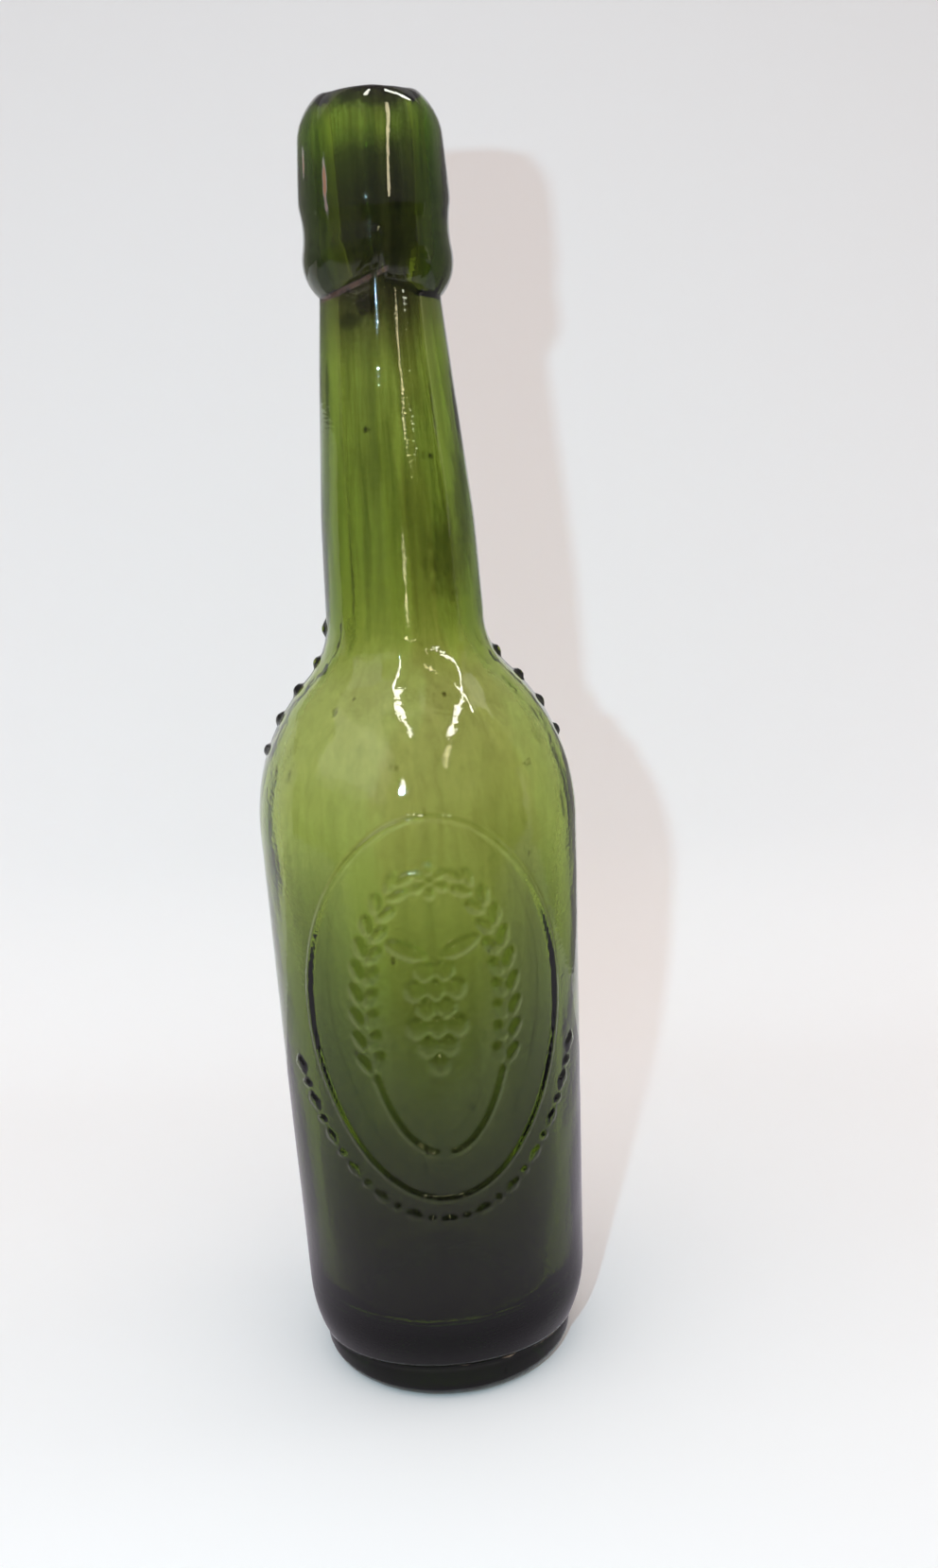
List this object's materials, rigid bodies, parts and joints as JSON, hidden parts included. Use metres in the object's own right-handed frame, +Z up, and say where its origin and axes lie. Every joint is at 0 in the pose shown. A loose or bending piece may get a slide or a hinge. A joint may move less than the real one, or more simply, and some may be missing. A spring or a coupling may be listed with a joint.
{
  "type": "beer bottle",
  "caption": "Empty long-necked beer bottle of thick green glass with a tall rounded lip, foot ring and a raised oval panel, for pouring and storing drink.",
  "frame": {"origin": "centre of the base on the surface the bottle stands on", "axes": "+Z up along the bottle's axis, -Y towards the front with the raised oval panel, +X to the right of the panel"},
  "size_m": [0.071, 0.0715, 0.285],
  "materials": {
    "green_glass": "clear olive-green bottle glass, darker where it is thick, smooth and slightly wavy"
  },
  "bodies": {
    "root": {"bottle": "green_glass"}
  },
  "joints": []
}
